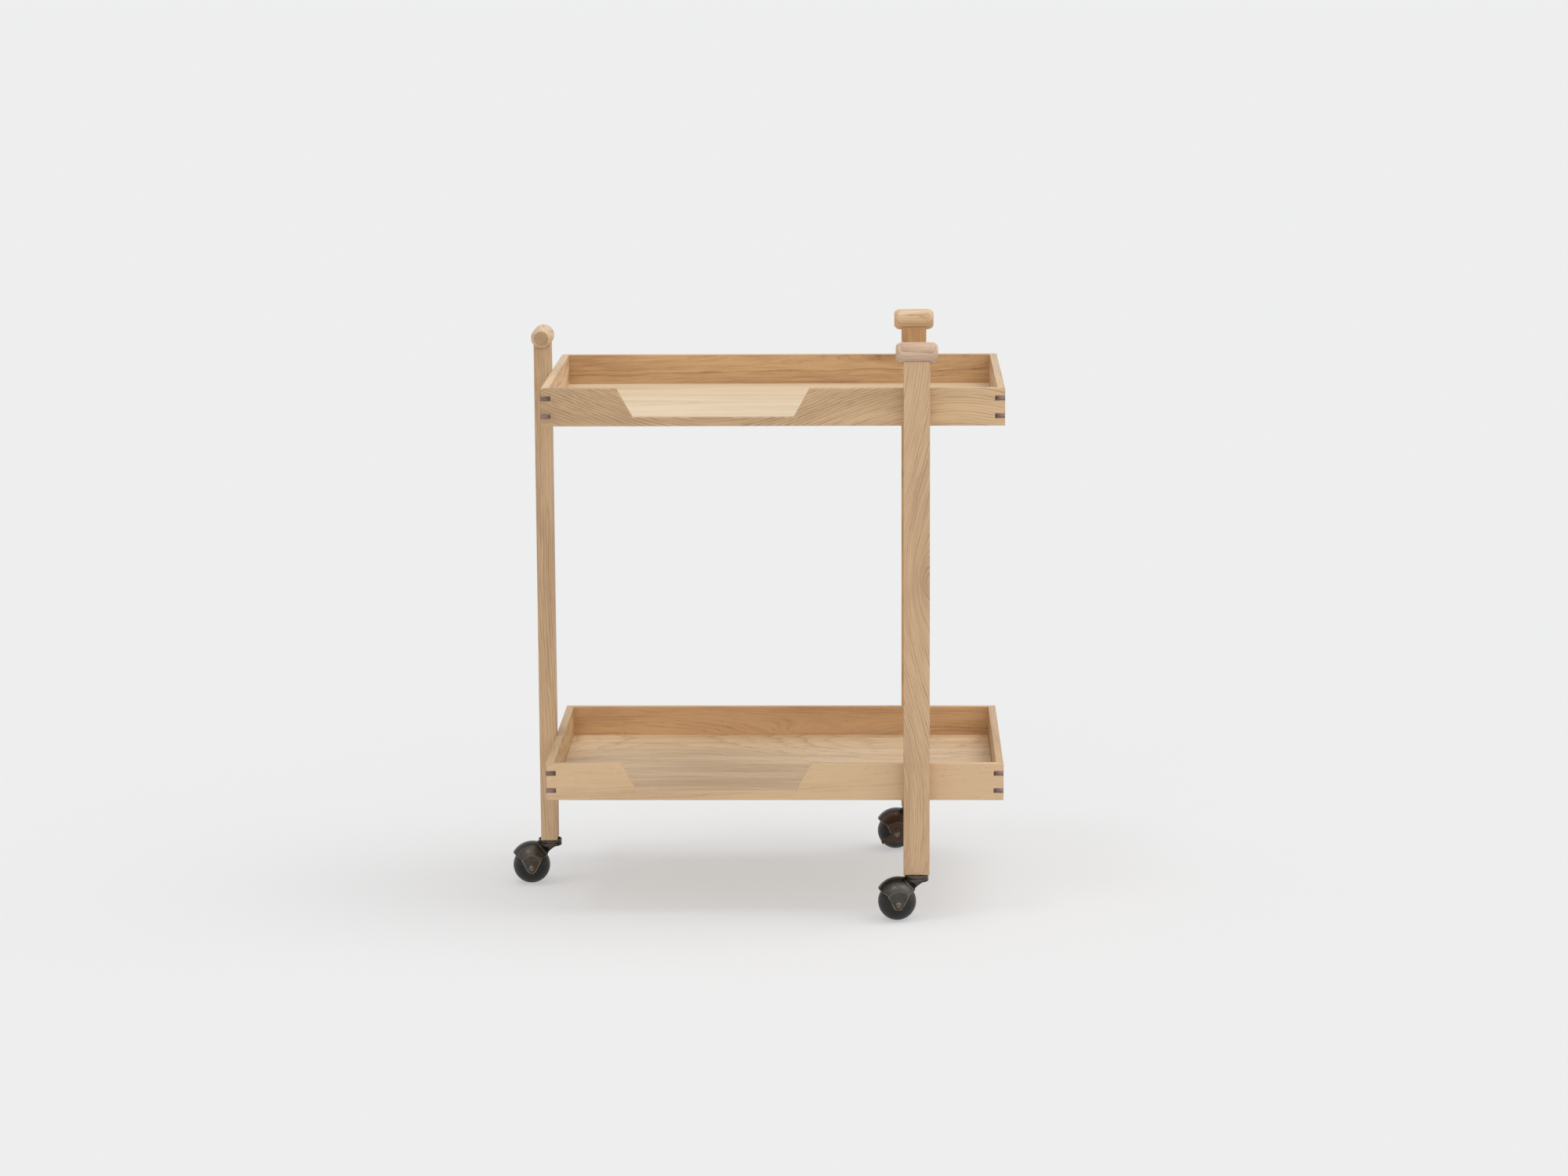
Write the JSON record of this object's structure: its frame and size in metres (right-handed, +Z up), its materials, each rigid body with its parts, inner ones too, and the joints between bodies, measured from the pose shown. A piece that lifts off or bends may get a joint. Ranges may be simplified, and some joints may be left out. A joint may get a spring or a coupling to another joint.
{
  "type": "serving trolley",
  "caption": "Three-legged oak serving trolley: two open trays with contrasting corner splines, turned handles on the leg tops and hooded ball castors.",
  "frame": {"origin": "on the ground, at the middle of the box round the whole trolley", "axes": "+X to the right and +Y to the back as seen from the front, where the cut-outs are; +Z up"},
  "size_m": [0.6615, 0.4566, 0.762],
  "materials": {
    "oak_rail": "oiled oak, long grain along each rail, satin",
    "oak_panel": "pale oiled oak, straight and cathedral grain along the tray",
    "oak_leg": "oiled oak, grain upright, satin",
    "oak_handle": "turned oak with darker end grain",
    "walnut": "dark walnut, planed flush",
    "beech": "plain turned dowel",
    "bronze": "antique bronze, rubbed bright on the edges",
    "steel": "turned steel",
    "ball": "hard black rubber, satin with scuffs"
  },
  "bodies": {
    "trolley": {"upper_front_rail": "oak_rail", "upper_back_rail": "oak_rail", "upper_left_rail": "oak_rail", "upper_right_rail": "oak_rail", "upper_floor_panel": "oak_panel", "upper_corner_splines": "walnut", "lower_front_rail": "oak_rail", "lower_back_rail": "oak_rail", "lower_left_rail": "oak_rail", "lower_right_rail": "oak_rail", "lower_floor_panel": "oak_panel", "lower_corner_splines": "walnut", "left_leg": "oak_leg", "front_leg": "oak_leg", "rear_leg": "oak_leg", "left_handle": "oak_handle", "front_handle": "oak_handle", "rear_handle": "oak_handle", "upper_leg_dowels": "beech", "lower_leg_dowels": "beech", "handle_pegs": "beech", "left_castor_socket": "steel", "left_castor_stem": "steel", "left_castor_race_plate": "bronze", "front_castor_socket": "steel", "front_castor_stem": "steel", "front_castor_race_plate": "bronze", "rear_castor_socket": "steel", "rear_castor_stem": "steel", "rear_castor_race_plate": "bronze"},
    "left_castor_swivel": {"left_castor_hood": "bronze", "left_castor_axle": "bronze", "left_castor_bearing_balls": "steel"},
    "left_castor_ball": {"left_castor_wheel": "ball"},
    "front_castor_swivel": {"front_castor_hood": "bronze", "front_castor_axle": "bronze", "front_castor_bearing_balls": "steel"},
    "front_castor_ball": {"front_castor_wheel": "ball"},
    "rear_castor_swivel": {"rear_castor_hood": "bronze", "rear_castor_axle": "bronze", "rear_castor_bearing_balls": "steel"},
    "rear_castor_ball": {"rear_castor_wheel": "ball"},
    "rear_brake": {"rear_castor_brake_lever": "bronze"}
  },
  "joints": [
    {"name": "left_swivel", "type": "hinge", "parent": "trolley", "child": "left_castor_swivel", "pos_m": [-0.28028, 0.00178, 0.062], "axis": [0, 0, 1], "continuous": true},
    {"name": "left_roll", "type": "hinge", "parent": "left_castor_swivel", "child": "left_castor_ball", "pos_m": [-0.30572, 0, 0.025], "axis": [-0.0698, 0.9976, 0], "continuous": true},
    {"name": "front_swivel", "type": "hinge", "parent": "trolley", "child": "front_castor_swivel", "pos_m": [0.21672, -0.19922, 0.062], "axis": [0, 0, 1], "continuous": true},
    {"name": "front_roll", "type": "hinge", "parent": "front_castor_swivel", "child": "front_castor_ball", "pos_m": [0.19128, -0.201, 0.025], "axis": [-0.0698, 0.9976, 0], "continuous": true},
    {"name": "rear_swivel", "type": "hinge", "parent": "trolley", "child": "rear_castor_swivel", "pos_m": [0.21672, 0.20278, 0.062], "axis": [0, 0, 1], "continuous": true},
    {"name": "rear_roll", "type": "hinge", "parent": "rear_castor_swivel", "child": "rear_castor_ball", "pos_m": [0.19128, 0.201, 0.025], "axis": [-0.0698, 0.9976, 0], "continuous": true},
    {"name": "rear_brake", "type": "hinge", "parent": "rear_castor_swivel", "child": "rear_brake", "pos_m": [0.19128, 0.201, 0.025], "axis": [0.0698, -0.9976, 0], "range_deg": [0, 20]}
  ]
}
